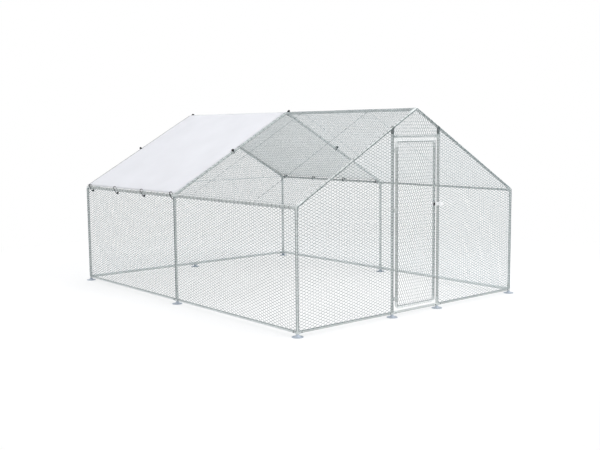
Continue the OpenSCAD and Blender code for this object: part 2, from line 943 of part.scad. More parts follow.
module elastic_loops()
    color("black")
        at_loops()
            elastic_loop();

module loop_balls()
    color("black")
        at_loops()
            translate(ball_at())
                sphere(r = ball_r);

// Door

module at_door() translate([0, front * bay_l, 0]) children();

module door_stile(side)
    at_door()
        translate([side * stile_x, 0, 0])
            tube_z(door_low_h + door_bend_r + socket_end, door_top_h - door_bend_r - socket_end);

module door_rail(h)
    at_door()
        translate([0, 0, h])
            tube_x(door_bend_r + socket_end - stile_x, stile_x - door_bend_r - socket_end);

module hinge_stile() color(steel) door_stile(left);
module latch_stile() color(steel) door_stile(right);
module door_top_rail() color(steel) door_rail(door_top_h);
module door_bottom_rail() color(steel) door_rail(door_low_h);

module door_corners()
    color(steel)
        at_door()
            for (side = [left, right], h = [door_low_h, door_top_h])
                translate([side * stile_x, 0, h])
                    mirror([side == right ? 1 : 0, 0, 0])
                        mirror([0, 0, h == door_low_h ? 1 : 0])
                            door_corner();

module door_corner()
    difference() {
        union() {
            bend_solid(90, door_bend_r, door_bend_r, bend_sleeve_r);
            at_bend_arms(90, door_bend_r) socket_solid(sleeve_r, door_socket_l);
        }
        bend_solid(90, door_bend_r, door_bend_r, tube_in_r);
        at_bend_arms(90, door_bend_r) socket_solid(bore_r, door_socket_l + over);
    }

module door_netting()
    color(wire)
        gable_net(front, rect([-stile_x, door_low_h + tube_r], [stile_x, door_top_h]), true);

// Hinge clip: a ring round a tube at clip_x and an ear that ends in a knuckle on the hinge axis
module hinge_clip(clip_x, z)
    translate([0, 0, z])
        difference() {
            union() {
                translate([clip_x, 0, 0]) cylinder(r = sleeve_r, h = hinge_clip_h);
                translate([min(clip_x, hinge_x), -hinge_ear_t / 2, 0])
                    cube([abs(clip_x - hinge_x), hinge_ear_t, hinge_clip_h]);
                translate([hinge_x, 0, 0]) cylinder(r = knuckle_r, h = hinge_clip_h);
            }
            translate([clip_x, 0, -over]) cylinder(r = bore_r, h = hinge_clip_h + 2 * over);
            translate([hinge_x, 0, -over]) cylinder(r = pin_r + pin_gap, h = hinge_clip_h + 2 * over);
        }

module hinge_post_clips()
    color(steel)
        at_door()
            for (h = hinge_hs)
                hinge_clip(-door_post_x, h - hinge_clip_h - seat_gap / 2);

module hinge_stile_clips()
    color(steel)
        at_door()
            for (h = hinge_hs)
                hinge_clip(-stile_x, h + seat_gap / 2);

// Headed pins that stand in the clips of the post
module hinge_pins()
    color(zinc)
        at_door()
            for (h = hinge_hs)
                translate([hinge_x, 0, h]) {
                    reach = hinge_clip_h + seat_gap / 2 + seat_gap;
                    translate([0, 0, -reach]) cylinder(r = pin_r, h = 2 * reach);
                    translate([0, 0, reach]) cylinder(r = pin_head_r, h = pin_head_h);
                    translate([0, 0, -reach - pin_head_h]) cylinder(r = pin_head_r, h = pin_head_h);
                }

// Latch

module at_latch() translate([0, front * bay_l, latch_h]) children();

// Plate that laps over the door post, its clip on the stile and the guides of its bolt
module latch_plate()
    color("white")
        at_latch()
            difference() {
                union() {
                    translate([stile_x, 0, -latch_plate_h / 2]) cylinder(r = sleeve_r, h = latch_plate_h);
                    translate([latch_plate_x + seat_gap + over, -latch_depth - over, -latch_plate_h / 2])
                        cube([latch_web_l, latch_depth + over - bore_r / 2, latch_plate_h]);
                    translate([latch_plate_x, -latch_front, -latch_plate_h / 2])
                        cube([latch_plate_l, latch_plate_t, latch_plate_h]);
                    for (x = [guide_low_x, guide_high_x])
                        translate([x - guide_l / 2, -guide_out, -guide_half_h])
                            cube([guide_l, guide_out - latch_front + over, 2 * guide_half_h]);
                }
                translate([stile_x, 0, -latch_plate_h]) cylinder(r = bore_r, h = 2 * latch_plate_h);
                translate([latch_plate_x, -latch_axis, 0])
                    rotate([0, 90, 0])
                        cylinder(r = latch_r + guide_gap, h = latch_plate_l);
                translate([staple_x - slot_w / 2, -latch_front - over, -slot_h / 2])
                    cube([slot_w, latch_plate_t + 2 * over, slot_h]);
            }

// Ring on the door post with a staple that stands out through the plate
module latch_keeper()
    color("white")
        at_latch()
            difference() {
                union() {
                    translate([door_post_x, 0, -staple_half_h]) cylinder(r = sleeve_r, h = 2 * staple_half_h);
                    translate([staple_x - staple_t / 2, -staple_top - staple_bar, -staple_half_h])
                        cube([staple_t, staple_top + staple_bar, 2 * staple_half_h]);
                }
                translate([door_post_x, 0, -latch_plate_h]) cylinder(r = bore_r, h = 2 * latch_plate_h);
                translate([staple_x - staple_t, -staple_top, staple_bar - staple_half_h])
                    cube([2 * staple_t, staple_top - sleeve_r, 2 * (staple_half_h - staple_bar)]);
            }

module latch_bolt()
    color(steel)
        at_latch()
            translate([grip_x - grip_l / 2 + grip_l * (1 - grip_floor_share), -latch_axis, 0])
                rotate([0, 90, 0])
                    cylinder(r = latch_r, h = latch_tip_x - grip_x + grip_l * (grip_floor_share - 1 / 2));

module latch_grip()
    color("black")
        at_latch()
            difference() {
                translate([grip_x - grip_l / 2, -latch_axis - grip_t / 2, -grip_h / 2])
                    cube([grip_l, grip_t, grip_h]);
                translate([grip_x - grip_l / 2 + grip_l * (1 - grip_floor_share) - pin_gap, -latch_axis, 0])
                    rotate([0, 90, 0])
                        cylinder(r = latch_r + pin_gap, h = grip_l);
            }

front_left_post();
front_right_post();
mid_left_post();
mid_right_post();
rear_left_post();
rear_right_post();
front_left_rafter();
front_right_rafter();
mid_left_rafter();
mid_right_rafter();
rear_left_rafter();
rear_right_rafter();
ridge_rails();
left_eave_rails();
right_eave_rails();
left_base_rails();
right_base_rails();
rear_base_rails();
front_base_rails();
door_sill();
left_door_post();
right_door_post();
door_head_rail();
eave_connectors();
ridge_connectors();
base_connectors();
head_rail_tees();
rafter_clamps();
foot_plates();
frame_bolts();
left_front_netting();
left_rear_netting();
right_front_netting();
right_rear_netting();
rear_wall_netting();
rear_gable_netting();
front_left_netting();
front_right_netting();
over_door_netting();
roof_left_front_netting();
roof_left_rear_netting();
roof_right_front_netting();
roof_right_rear_netting();
roof_cover();
cover_eyelets();
elastic_loops();
loop_balls();
hinge_stile();
latch_stile();
door_top_rail();
door_bottom_rail();
door_corners();
door_netting();
hinge_post_clips();
hinge_stile_clips();
hinge_pins();
latch_plate();
latch_keeper();
latch_bolt();
latch_grip();
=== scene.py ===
import math

import bpy
import numpy as np
from mathutils import Matrix, Vector


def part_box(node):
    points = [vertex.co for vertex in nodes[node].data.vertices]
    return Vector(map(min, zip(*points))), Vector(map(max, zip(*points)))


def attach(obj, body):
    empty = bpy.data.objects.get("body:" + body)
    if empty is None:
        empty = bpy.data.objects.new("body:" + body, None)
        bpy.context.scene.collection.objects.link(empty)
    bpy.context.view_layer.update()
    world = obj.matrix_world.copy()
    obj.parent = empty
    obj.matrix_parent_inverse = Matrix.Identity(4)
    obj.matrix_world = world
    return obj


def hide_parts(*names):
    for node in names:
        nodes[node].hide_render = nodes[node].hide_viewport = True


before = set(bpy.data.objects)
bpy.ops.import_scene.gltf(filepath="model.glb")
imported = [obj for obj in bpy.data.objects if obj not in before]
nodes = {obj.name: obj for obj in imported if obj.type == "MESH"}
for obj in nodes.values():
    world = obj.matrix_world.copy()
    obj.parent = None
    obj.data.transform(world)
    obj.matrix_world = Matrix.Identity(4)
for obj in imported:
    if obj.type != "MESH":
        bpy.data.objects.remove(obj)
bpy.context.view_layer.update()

scene = bpy.context.scene


# Main lines of the run in metres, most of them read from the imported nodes

def middle(name):
    low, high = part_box(name)
    return (low + high) / 2


plan = {
    "halfWidth": -middle("front_left_post").x,
    "bay": -middle("front_left_post").y,
    "tube": 0.0125,  # radius
    "netOff": 0.01505,  # from a tube's axis to its net
    "coverOff": 0.01655,  # from a tube's axis to the cover
    "eaveRailX": -middle("left_eave_rails").x,
    "eaveRailZ": middle("left_eave_rails").z,
    "ridgeRailZ": middle("ridge_rails").z,
    "baseZ": middle("left_base_rails").z,
    "doorPostX": -middle("left_door_post").x,
    "stileX": -middle("hinge_stile").x,
    "headZ": middle("door_head_rail").z,
    "doorTopZ": middle("door_top_rail").z,
    "doorLowZ": middle("door_bottom_rail").z,
    "eaveZ": 1.136,  # where the axes of post and rafter cross
    "ridgeZ": 1.986,  # where the axes of two rafters cross
    "bend": 0.075,  # radius of the axis at the ridge
}
halfW, bay, doorX, stileX = (plan[k] for k in ("halfWidth", "bay", "doorPostX", "stileX"))
eaveZ, ridgeZ, eaveRailZ = (plan[k] for k in ("eaveZ", "ridgeZ", "eaveRailZ"))
slope = math.atan2(ridgeZ - eaveZ, halfW)
cosSlope, sinSlope, tanSlope = math.cos(slope), math.sin(slope), math.tan(slope)
rafter = math.hypot(ridgeZ - eaveZ, halfW)


# Camera fitted to the photograph, with its angles in degrees

view = {
    "place": (-6.1881, -7.608, 1.7993),
    "yaw": 39.9295,
    "pitch": -6.3538,
    "roll": -0.5418,
    "lens": 51.668,
    "sensor": 36.0,
    "farthest": 200.0,
}


def makeCamera():
    data = bpy.data.cameras.new("camera")
    data.lens = view["lens"]
    data.sensor_width = view["sensor"]
    data.clip_end = view["farthest"]
    camera = bpy.data.objects.new("camera", data)
    scene.collection.objects.link(camera)
    yaw, pitch, roll = (math.radians(view[k]) for k in ("yaw", "pitch", "roll"))
    level = math.cos(pitch)
    ahead = Vector((math.sin(yaw) * level, math.cos(yaw) * level, math.sin(pitch)))
    right = Vector((math.cos(yaw), -math.sin(yaw), 0))
    up = right.cross(ahead)
    across = right * math.cos(roll) + up * math.sin(roll)
    above = up * math.cos(roll) - right * math.sin(roll)
    turn = Matrix((across, above, -ahead)).transposed()
    camera.matrix_world = Matrix.Translation(view["place"]) @ turn.to_4x4()
    scene.camera = camera


makeCamera()
print("camera is set")


# Small helpers for shader nodes

def link(tree, a, b):
    tree.links.new(a, b)


def add(tree, kind, **values):
    node = tree.nodes.new(kind)
    for key, value in values.items():
        if hasattr(node, key):
            setattr(node, key, value)
        else:
            node.inputs[key.replace("_", " ")].default_value = value
    return node


def compute(tree, operation, a, b):
    node = add(tree, "ShaderNodeMath", operation=operation)
    link(tree, a, node.inputs[0])
    link(tree, b, node.inputs[1])
    return node.outputs["Value"]


def spread(tree, value, low, high, start=0.0, end=1.0):
    node = add(tree, "ShaderNodeMapRange", From_Min=start, From_Max=end, To_Min=low, To_Max=high)
    link(tree, value, node.inputs["Value"])
    return node.outputs["Result"]


def tint(tree, colour, value):
    node = add(tree, "ShaderNodeMix", data_type="RGBA", blend_type="MULTIPLY", Factor=1.0)
    link(tree, colour, node.inputs[6])  # the colour sockets A and B
    link(tree, value, node.inputs[7])
    return node.outputs[2]


def bumped(tree, height, depth, distance):
    bump = add(tree, "ShaderNodeBump", Distance=distance)
    link(tree, depth, bump.inputs["Strength"])
    link(tree, height, bump.inputs["Height"])
    return bump.outputs["Normal"]


# Gives the socket for the second shader's share
def mixShaders(tree, first, second, end):
    mixed = tree.nodes.new("ShaderNodeMixShader")
    link(tree, first, mixed.inputs[1])
    link(tree, second, mixed.inputs[2])
    link(tree, mixed.outputs["Shader"], end.inputs["Surface"])
    return mixed.inputs["Fac"]


# Shared effects, as node groups that give a colour, a roughness and a normal

skinOutputs = {
    "Color": "NodeSocketColor",
    "Roughness": "NodeSocketFloat",
    "Normal": "NodeSocketVector",
}


def newGroup(name, **inputs):
    tree = bpy.data.node_groups.new(name, "ShaderNodeTree")
    for label, value in inputs.items():
        kind = "NodeSocketFloat" if isinstance(value, float) else "NodeSocketColor"
        socket = tree.interface.new_socket(label, in_out="INPUT", socket_type=kind)
        socket.default_value = value
    for label, kind in skinOutputs.items():
        tree.interface.new_socket(label, in_out="OUTPUT", socket_type=kind)
    return tree, tree.nodes.new("NodeGroupInput").outputs, tree.nodes.new("NodeGroupOutput").inputs


# Zinc: crystals that differ in shade and gloss, slow clouds and a fine grain
zincLook = {
    "flakeShade": (0.9, 1.08),
    "flakeRough": (-0.07, 0.09),
    "cloudScale": 4.0,
    "cloudDetail": 5.0,
    "cloudShade": (0.84, 1.12),
    "grainScale": 420.0,
    "grainDetail": 3.0,
    "grainHeight": 0.0006,
    "bloomRough": 0.4,
}


def makeZincGroup():
    tree, given, out = newGroup("zincSkin", Tone=(0.6, 0.6, 0.6, 1), Flake=90.0, Rough=0.4, Depth=0.1)
    look = zincLook
    at = add(tree, "ShaderNodeTexCoord").outputs["Object"]
    flake = add(tree, "ShaderNodeTexVoronoi")
    cloud = add(tree, "ShaderNodeTexNoise", Scale=look["cloudScale"], Detail=look["cloudDetail"])
    grain = add(tree, "ShaderNodeTexNoise", Scale=look["grainScale"], Detail=look["grainDetail"])
    for texture in (flake, cloud, grain):
        link(tree, at, texture.inputs["Vector"])
    link(tree, given["Flake"], flake.inputs["Scale"])
    shade = add(tree, "ShaderNodeSeparateColor")
    link(tree, flake.outputs["Color"], shade.inputs["Color"])
    flaked = tint(tree, given["Tone"], spread(tree, shade.outputs["Red"], *look["flakeShade"]))
    clouded = tint(tree, flaked, spread(tree, cloud.outputs["Fac"], *look["cloudShade"]))
    uneven = spread(tree, shade.outputs["Green"], *look["flakeRough"])
    link(tree, clouded, out["Color"])
    link(tree, compute(tree, "ADD", given["Rough"], uneven), out["Roughness"])
    grained = bumped(tree, grain.outputs["Fac"], given["Depth"], look["grainHeight"])
    link(tree, grained, out["Normal"])
    return tree


# Paint, rubber, plastic and braid: clouds and a grain of each one's own size
coatLook = {
    "cloudScale": 14.0,
    "cloudDetail": 4.0,
    "cloudShade": (0.88, 1.06),
    "grainDetail": 2.0,
    "grainRough": (-0.08, 0.08),
    "grainHeight": 0.0005,
}


def makeCoatGroup():
    tree, given, out = newGroup("coatSkin", Tone=(0.8, 0.8, 0.8, 1), Rough=0.4, Grain=300.0, Depth=0.1)
    look = coatLook
    at = add(tree, "ShaderNodeTexCoord").outputs["Object"]
    cloud = add(tree, "ShaderNodeTexNoise", Scale=look["cloudScale"], Detail=look["cloudDetail"])
    grain = add(tree, "ShaderNodeTexNoise", Detail=look["grainDetail"])
    for texture in (cloud, grain):
        link(tree, at, texture.inputs["Vector"])
    link(tree, given["Grain"], grain.inputs["Scale"])
    clouded = tint(tree, given["Tone"], spread(tree, cloud.outputs["Fac"], *look["cloudShade"]))
    uneven = spread(tree, grain.outputs["Fac"], *look["grainRough"])
    link(tree, clouded, out["Color"])
    link(tree, compute(tree, "ADD", given["Rough"], uneven), out["Roughness"])
    grained = bumped(tree, grain.outputs["Fac"], given["Depth"], look["grainHeight"])
    link(tree, grained, out["Normal"])
    return tree


# Woven cloth: crossed threads and slow clouds
weaveLook = {
    "threadShade": (0.96, 1.0),
    "threadRough": (0.86, 0.7),
    "threadHeight": 0.0004,
    "cloudScale": 2.8,
    "cloudDetail": 4.0,
    "cloudShade": (0.88, 1.11),
}


def makeWeaveGroup():
    tree, given, out = newGroup("weaveSkin", Tone=(0.8, 0.8, 0.8, 1), Threads=60.0, Depth=0.2)
    look = weaveLook
    at = add(tree, "ShaderNodeTexCoord").outputs["UV"]
    cloud = add(tree, "ShaderNodeTexNoise", Scale=look["cloudScale"], Detail=look["cloudDetail"])
    link(tree, at, cloud.inputs["Vector"])
    threads = []
    for axis in ("X", "Y"):
        wave = add(tree, "ShaderNodeTexWave", wave_type="BANDS", bands_direction=axis)
        link(tree, at, wave.inputs["Vector"])
        link(tree, given["Threads"], wave.inputs["Scale"])
        threads.append(wave.outputs["Fac"])
    crossed = compute(tree, "MAXIMUM", *threads)
    threaded = tint(tree, given["Tone"], spread(tree, crossed, *look["threadShade"]))
    clouded = tint(tree, threaded, spread(tree, cloud.outputs["Fac"], *look["cloudShade"]))
    link(tree, clouded, out["Color"])
    link(tree, spread(tree, crossed, *look["threadRough"]), out["Roughness"])
    link(tree, bumped(tree, crossed, given["Depth"], look["threadHeight"]), out["Normal"])
    return tree


zincGroup = makeZincGroup()
coatGroup = makeCoatGroup()
weaveGroup = makeWeaveGroup()


# Materials

def startMaterial(name, group, tone, settings):
    material = bpy.data.materials.new(name)
    material.use_nodes = True
    tree = material.node_tree
    tree.nodes.clear()
    skin = tree.nodes.new("ShaderNodeGroup")
    skin.node_tree = group
    skin.inputs["Tone"].default_value = (*tone, 1)
    for key, value in settings.items():
        skin.inputs[key].default_value = value
    surface = tree.nodes.new("ShaderNodeBsdfPrincipled")
    for output in skin.outputs:
        target = "Base Color" if output.name == "Color" else output.name
        link(tree, output, surface.inputs[target])
    end = tree.nodes.new("ShaderNodeOutputMaterial")
    link(tree, surface.outputs["BSDF"], end.inputs["Surface"])
    return material, surface, end


# Weathered zinc has a dull bloom, which sheen gives
def zinc(name, tone, metal, bloom=0.0, **settings):
    material, surface, _ = startMaterial(name, zincGroup, tone, settings)
    surface.inputs["Metallic"].default_value = metal
    surface.inputs["Sheen Weight"].default_value = bloom
    surface.inputs["Sheen Roughness"].default_value = zincLook["bloomRough"]
    return material


def coat(name, tone, gloss, shine=0.5, **settings):
    material, surface, _ = startMaterial(name, coatGroup, tone, settings)
    surface.inputs["Coat Weight"].default_value = gloss
    surface.inputs["Specular IOR Level"].default_value = shine
    return material


# Thin cloth lets some of the light through
def cloth(name, tone, through, **settings):
    material, surface, end = startMaterial(name, weaveGroup, tone, settings)
    tree = material.node_tree
    glow = add(tree, "ShaderNodeBsdfTranslucent", Color=(*tone, 1))
    share = mixShaders(tree, surface.outputs["BSDF"], glow.outputs["BSDF"], end)
    share.default_value = through
    return material


tubeSkin = {"Flake": 110.0, "Rough": 0.6, "Depth": 0.1}
tubeSteel = zinc("tubeSteel", (0.69, 0.725, 0.72), 0.5, bloom=0.3, **tubeSkin)
# The next tube steel is the same zinc made darker, painted shade, and the one after it made lighter,
# painted light.
shadedTubeSteel = zinc("shadedTubeSteel", (0.54, 0.57, 0.565), 0.5, bloom=0.12, **tubeSkin)
litTubeSteel = zinc("litTubeSteel", (0.80, 0.825, 0.82), 0.35, bloom=0.1, **tubeSkin)
sleeveSteel = zinc(
    "sleeveSteel", (0.64, 0.675, 0.67), 0.5, bloom=0.25, Flake=140.0, Rough=0.58, Depth=0.12
)
clampSteel = zinc("clampSteel", (0.24, 0.255, 0.25), 0.6, Flake=200.0, Rough=0.5, Depth=0.2)
boltSteel = zinc("boltSteel", (0.16, 0.165, 0.17), 0.8, Flake=300.0, Rough=0.42, Depth=0.2)
eyeletSteel = zinc("eyeletSteel", (0.7, 0.71, 0.73), 0.85, Flake=300.0, Rough=0.32, Depth=0.1)
footSteel = zinc("footSteel", (0.45, 0.50, 0.565), 0.25, Flake=160.0, Rough=0.55, Depth=0.15)

wireSkin = {"Flake": 60.0, "Rough": 0.5, "Depth": 0.05}
# The near nets' wire and the front right net's wire are the galvanised wire made dark, painted shade.
shadedNearWire = zinc("shadedNearWire", (0.055, 0.105, 0.12), 0.35, **wireSkin)
shadedWire = zinc("shadedWire", (0.15, 0.22, 0.24), 0.35, **wireSkin)
# The far walls', right roof's and covered roof's wire is the same galvanised wire made lighter,
# painted light.
litFarWire = zinc("litFarWire", (0.37, 0.485, 0.52), 0.35, **wireSkin)
litPaleWire = zinc("litPaleWire", (0.42, 0.52, 0.545), 0.4, **wireSkin)
litCoveredWire = zinc("litCoveredWire", (0.76, 0.80, 0.775), 0.4, **wireSkin)
# The tie wire is the same galvanised wire made dark, painted shade.
shadedTieWire = zinc("shadedTieWire", (0.045, 0.058, 0.058), 0.3, **wireSkin)

latchCoat = coat("latchCoat", (0.86, 0.865, 0.87), 0.25, Rough=0.38, Grain=380.0, Depth=0.15)
gripRubber = coat(
    "gripRubber", (0.02, 0.02, 0.022), 0.0, shine=0.3, Rough=0.62, Grain=900.0, Depth=0.4
)
ballPlastic = coat(
    "ballPlastic", (0.006, 0.006, 0.0065), 0.04, shine=0.12, Rough=0.35, Grain=500.0, Depth=0.1
)
cordBraid = coat(
    "cordBraid", (0.008, 0.008, 0.009), 0.0, shine=0.1, Rough=0.75, Grain=1800.0, Depth=0.8
)

coverCloth = cloth("coverCloth", (0.886, 0.884, 0.922), 0.55, Threads=90.0, Depth=0.2)
# The back is the same cloth made lighter, painted light.
litCoverBack = cloth("litCoverBack", (0.965, 0.975, 0.955), 0.55, Threads=90.0, Depth=0.2)
# A dark grey strip along the cover's rear edge.
coverDarkStrip = cloth("coverDarkStrip", (0.20, 0.21, 0.215), 0.1, Threads=90.0, Depth=0.3)

finishes = {
    "frame_bolts": boltSteel,
    "hinge_pins": boltSteel,
    "foot_plates": footSteel,
    "hinge_stile": shadedTubeSteel,
    "right_door_post": shadedTubeSteel,
    "mid_left_rafter": tubeSteel,
    "mid_right_rafter": tubeSteel,
    "rear_right_rafter": tubeSteel,
    "door_top_rail": litTubeSteel,
    "door_bottom_rail": litTubeSteel,
    "door_corners": litTubeSteel,
    "door_head_rail": litTubeSteel,
    "cover_eyelets": eyeletSteel,
    "elastic_loops": cordBraid,
    "loop_balls": ballPlastic,
    "latch_plate": latchCoat,
    "latch_keeper": latchCoat,
    "latch_grip": gripRubber,
    "rafter_clamps": clampSteel,
    "roof_cover": coverCloth,
}
wordFinishes = {  # for the other nodes, by a word in the name
    "netting": shadedNearWire,
    "connectors": sleeveSteel,
    "tees": sleeveSteel,
    "clips": sleeveSteel,
    "rafter": shadedTubeSteel,
    "eave_rails": shadedTubeSteel,
    "front_base_rails": shadedTubeSteel,
    "door_sill": shadedTubeSteel,
}
for name, obj in nodes.items():
    byWord = [finish for word, finish in wordFinishes.items() if word in name]
    obj.data.materials.clear()
    obj.data.materials.append(finishes.get(name) or [*byWord, tubeSteel][0])
print("materials are set")


# Meshes from arrays of wires

def newPiece(name, verts, faces, material, body, smooth=None):
    mesh = bpy.data.meshes.new(name)
    mesh.from_pydata(verts, [], faces)
    mesh.polygons.foreach_set("use_smooth", smooth or [True] * len(faces))
    mesh.materials.append(material)
    mesh.update()
    obj = bpy.data.objects.new(name, mesh)
    scene.collection.objects.link(obj)
    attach(obj, body)
    return obj


leastLength, leastGap = 1e-12, 1e-15  # keep divisions from failing


def unit(v):
    return v / np.maximum(np.linalg.norm(v, axis=-1, keepdims=True), leastLength)


# Outward faces of a row of tubes, each a run of rings: its sides, and a cap at each end
def tubeFaces(count, rings, sides):
    quads = []
    for k in range(rings - 1):
        for j in range(sides):
            here, there, beside = k * sides, (k + 1) * sides, (j + 1) % sides
            quads.append([here + j, there + j, there + beside, here + beside])
    first = np.arange(sides)
    caps = [first, rings * sides - 1 - first]
    base = np.arange(count)[:, None, None] * (rings * sides)
    return (base + np.array(quads)).reshape(-1, 4), (base + np.array(caps)).reshape(-1, sides)


wireSides = 4
firstCorner = math.pi / 4


# Corners of each ring round a wire, whose section may be flattened
def ring(centre, along, normal, radius, angle, flat):
    side = unit(np.cross(along, normal))
    face = np.cross(side, along)
    turns = [angle + j * 2 * math.pi / wireSides for j in range(wireSides)]
    return [centre + radius * (np.cos(a) * side * flat + np.sin(a) * face) for a in turns]


# Many straight wires at once
def rods(start, end, normal, radius, sections, turn, flat):
    along = unit(end - start)
    corners = []
    for k in range(sections + 1):
        part = k / sections
        angle = firstCorner + turn * part
        corners += ring(start + (end - start) * part, along, normal, radius, angle, flat)
    verts = np.stack(corners, axis=1).reshape(-1, 3)
    return verts, *tubeFaces(len(start), sections + 1, wireSides)


# One long wire that twists as it goes along its points
def edgeRod(points, normal, radius, flat):
    along = unit(np.gradient(points, axis=0))
    angle = firstCorner * np.arange(1, len(points) + 1)[:, None]
    corners = ring(points, along, normal, radius, angle, flat)
    return np.stack(corners, axis=1).reshape(-1, 3), *tubeFaces(1, len(points), wireSides)


def joined(parts):
    verts, faces, smooth, offset = [], [], [], 0
    for v, sides, caps in parts:
        verts.append(v)
        faces += (sides + offset).tolist() + (caps + offset).tolist()
        smooth += [True] * len(sides) + [False] * len(caps)
        offset += len(v)
    return np.concatenate(verts).tolist(), faces, smooth


# Hexagonal wire netting

netting = {
    "period": 0.0625,  # from a twist to the next in its row
    "rows": 0.0274,
    "twist": 0.017,  # length of a twist
    "wire": 0.001,
    "twistWire": 0.0011,
    "twistSections": 2,
    "twistTurn": math.pi * 2 / 3,
    "twistFlat": 1.7,
    "edgeWire": 0.0012,
    "edgeFlat": 1.5,
    "edgeStep": 0.03,
    "edgeLift": 0.0006,
    "reach": 0.6,  # of its radius, how far a wire runs into a knot
    "shortest": 0.02,  # share of a wire that is still drawn at an edge
    "jitter": 0.0004,
    "bulge": 0.0012,
    "sideShift": 0.011,  # of the lattice along a side wall
    "eaveGap": 0.006,
    "seam": 0.001,
    "roofSeams": {-1: (-1.365, -0.325, 0.715, 1.755), 1: (-1.26, -0.223, 0.817, 1.85)},
    "hang": 0.006,  # of a roof panel between its arches
}


# Cuts the wires a to b at a convex outline
def clipToOutline(a, b, outline):
    low = np.zeros(len(a))
    high = np.ones(len(a))
    for i, p in enumerate(outline):
        q = outline[(i + 1) % len(outline)]
        edge = np.array(q) - np.array(p)
        da = edge[0] * (a[:, 1] - p[1]) - edge[1] * (a[:, 0] - p[0])
        db = edge[0] * (b[:, 1] - p[1]) - edge[1] * (b[:, 0] - p[0])
        gap = da - db
        cross = da / np.where(np.abs(gap) < leastGap, leastGap, gap)
        low = np.where((da < 0) & (db >= 0), np.maximum(low, cross), low)
        high = np.where((da >= 0) & (db < 0), np.minimum(high, cross), high)
        high = np.where((da < 0) & (db < 0), -1.0, high)
    keep = high - low > netting["shortest"]
    span = (b - a)[keep]
    return a[keep] + span * low[keep][:, None], a[keep] + span * high[keep][:, None]


# Ends of the twists and of the slanting wires over an outline
def lattice(outline, origin, turned):
    pts = np.array(outline) - np.array(origin)
    low, high = pts.min(0), pts.max(0)
    start = origin
    if turned:
        low, high, start = low[::-1], high[::-1], origin[::-1]
    step, rows = netting["period"] / 2, netting["rows"]
    half = netting["twist"] / 2
    i, j = np.meshgrid(
        np.arange(math.floor(low[0] / step) - 1, math.ceil(high[0] / step) + 2),
        np.arange(math.floor(low[1] / rows) - 1, math.ceil(high[1] / rows) + 2),
        indexing="ij",
    )
    u = start[0] + i * step
    v = start[1] + j * rows + (i % 2) * rows / 2
    u, v = u.ravel(), v.ravel()
    upper = v + rows / 2
    lower = v - rows / 2
    tip = u + step - half
    twists = np.stack([u - half, upper], 1), np.stack([u + half, upper], 1)
    slants = (
        np.concatenate([np.stack([u + half, upper], 1), np.stack([tip, v], 1)]),
        np.concatenate([np.stack([tip, v], 1), np.stack([u + half, lower], 1)]),
    )
    if turned:
        twists = tuple(p[:, ::-1] for p in twists)
        slants = tuple(p[:, ::-1] for p in slants)
    return twists, slants


# Small shakes from knot to knot and slow waves over a panel, which the seed shifts
waves = {
    "shakeU": (911.7, 457.3),
    "shakeV": (523.9, -803.1),
    "swayU": 3.1,
    "swayV": 2.7,
    "sway": 1.6,
    "slow": (5.3, 6.1),
    "quick": (701.0, 388.0),
    "shares": (0.7, 0.6, 0.25),  # of the bulge: everywhere, slow and quick
}


def wander(p, seed):
    u, v, sway = p[:, 0], p[:, 1], waves["sway"]
    (a, b), (c, d) = waves["shakeU"], waves["shakeV"]
    du = np.sin(u * a + v * b + seed) + np.sin(v * waves["swayU"] + seed * 2.0) * sway
    dv = np.sin(u * c + v * d + seed * 3) + np.sin(u * waves["swayV"] + seed) * sway
    return p + netting["jitter"] * np.stack([du, dv], 1)


def bulge(p, seed):
    u, v = p[:, 0], p[:, 1]
    (a, b), (c, d) = waves["slow"], waves["quick"]
    slow = np.sin(u * a + seed) * np.sin(v * b + seed * 1.7)
    quick = np.sin(u * c + v * d + seed)
    even, slowShare, quickShare = waves["shares"]
    return netting["bulge"] * (even + slowShare * slow + quickShare * quick)


# A piece of one or more strips: outline, origin of the lattice and the sides with an edge wire
def netPiece(name, node, strips, place, normal, seed, material, turned=False, body="frame"):
    normal = np.array(normal, float)
    twisted = [netting[k] for k in ("twistWire", "twistSections", "twistTurn", "twistFlat")]
    straight = [netting["wire"], 1, 0.0, 1.0]
    parts = []
    for outline, origin, edges in strips:
        for (a, b), form in zip(lattice(outline, origin, turned), (twisted, straight)):
            a, b = clipToOutline(wander(a, seed), wander(b, seed), outline)
            start = place(a[:, 0], a[:, 1], bulge(a, seed))
            end = place(b[:, 0], b[:, 1], bulge(b, seed))
            reach = unit(end - start) * form[0] * netting["reach"]
            parts.append(rods(start - reach, end + reach, normal, *form))
        for i in edges:
            p, q = np.array(outline[i]), np.array(outline[(i + 1) % len(outline)])
            count = max(2, int(math.dist(p, q) / netting["edgeStep"]))
            line = p + (q - p) * np.linspace(0, 1, count + 1)[:, None]
            pts = place(line[:, 0], line[:, 1], np.full(len(line), netting["edgeLift"]))
            parts.append(edgeRod(pts, normal, netting["edgeWire"], netting["edgeFlat"]))
    verts, faces, smooth = joined(parts)
    obj = newPiece(name, verts, faces, material, body, smooth)
    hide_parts(node)


# Each gives points for u, v in a panel and w out of it

def onSide(side):
    return lambda u, v, w: np.stack([side * (halfW + plan["netOff"] + w), u, v], 1)


def onGable(side):
    return lambda u, v, w: np.stack([u, side * (bay + plan["netOff"] + w), v], 1)


bend = plan["bend"]
flatLength = rafter - bend * tanSlope
halfGirth = flatLength + bend * slope
bendZ = ridgeZ - bend / cosSlope


def hang(t, y):
    up = np.clip(t / flatLength, 0, 1)
    return -netting["hang"] * np.sin(np.pi * up) * np.abs(np.sin(np.pi * y / bay))


